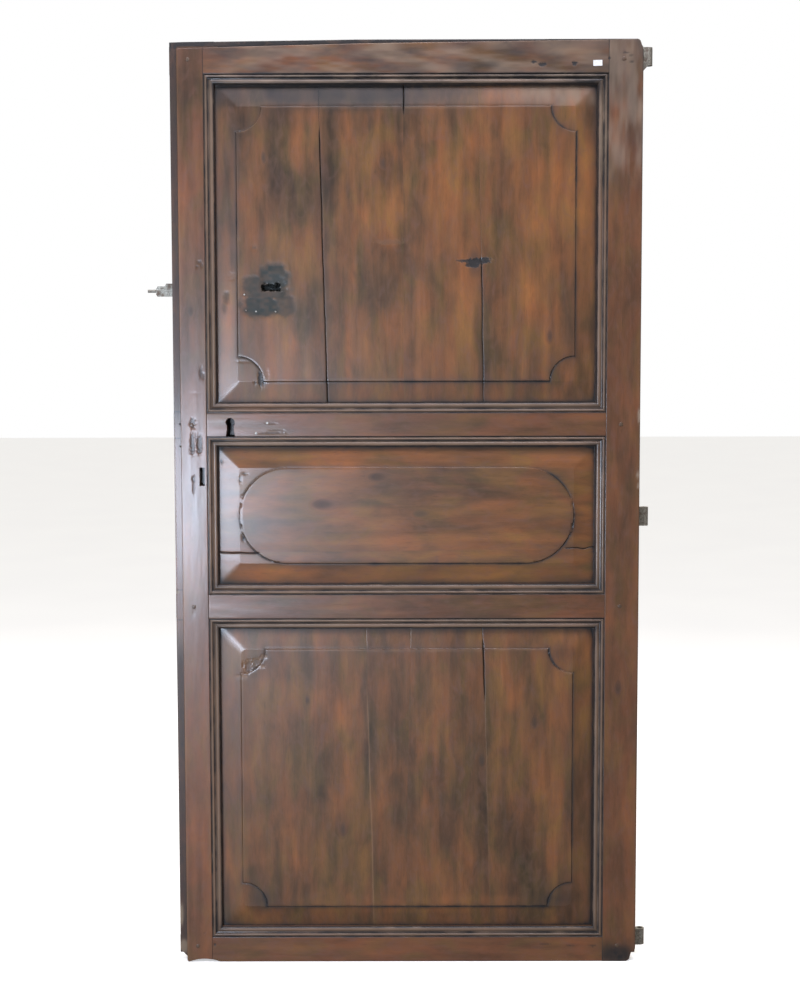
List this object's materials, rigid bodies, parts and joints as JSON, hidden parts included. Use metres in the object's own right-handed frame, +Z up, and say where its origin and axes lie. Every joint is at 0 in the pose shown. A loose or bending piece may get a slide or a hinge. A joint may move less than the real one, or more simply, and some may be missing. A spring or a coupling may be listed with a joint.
{
  "type": "panelled wooden door leaf",
  "caption": "Rectangular frame-and-panel wooden door leaf with raised panels, stuck mouldings, forged eye hinges, a drop latch and a rim lock on its back.",
  "frame": {"origin": "middle of the bottom hinge eye, on the line that the leaf swings about", "axes": "+Z up along the hinge line, +X across the leaf from its closing edge towards its hinges, +Y from the panelled face to the back"},
  "size_m": [1.141, 0.069, 2.1],
  "materials": {
    "frame_wood": "stained and waxed",
    "panel_wood": "stained and waxed",
    "peg_wood": "stained and waxed",
    "forged_iron": "forged, worn dark",
    "lock_iron": "filed, worn",
    "nail_iron": "forged, worn",
    "label_paper": "matt paper"
  },
  "bodies": {
    "leaf": {"lock_stile": "frame_wood", "hinge_stile": "frame_wood", "top_rail": "frame_wood", "lock_rail": "frame_wood", "middle_rail": "frame_wood", "bottom_rail": "frame_wood", "top_panel_board_1": "panel_wood", "top_panel_board_2": "panel_wood", "top_panel_board_3": "panel_wood", "top_panel_board_4": "panel_wood", "middle_panel_lower_board": "panel_wood", "middle_panel_upper_board": "panel_wood", "bottom_panel_board_1": "panel_wood", "bottom_panel_board_2": "panel_wood", "bottom_panel_board_3": "panel_wood", "bottom_panel_board_4": "panel_wood", "joint_pegs": "peg_wood", "bottom_hinge": "forged_iron", "middle_hinge": "forged_iron", "top_hinge": "forged_iron", "latch_plate": "forged_iron", "latch_pivot": "forged_iron", "latch_keeper": "forged_iron", "lock_plate": "forged_iron", "lock_cover": "forged_iron", "bolt_guide": "lock_iron", "bolt_spring": "lock_iron", "lock_ward": "lock_iron", "hinge_nails": "nail_iron", "latch_nails": "nail_iron", "lock_nails": "nail_iron", "face_nails": "nail_iron", "paper_label": "label_paper"},
    "latch": {"latch_bar": "forged_iron"},
    "bolt": {"lock_bolt": "lock_iron"}
  },
  "joints": [
    {"name": "latch_lift", "type": "hinge", "parent": "leaf", "child": "latch", "pos_m": [-0.772, -0.0037, 1.504], "axis": [0, 1, 0], "range_deg": [0, 6]},
    {"name": "bolt_throw", "type": "slide", "parent": "leaf", "child": "bolt", "axis": [-1, 0, 0], "range_m": [0, 0.026]}
  ]
}
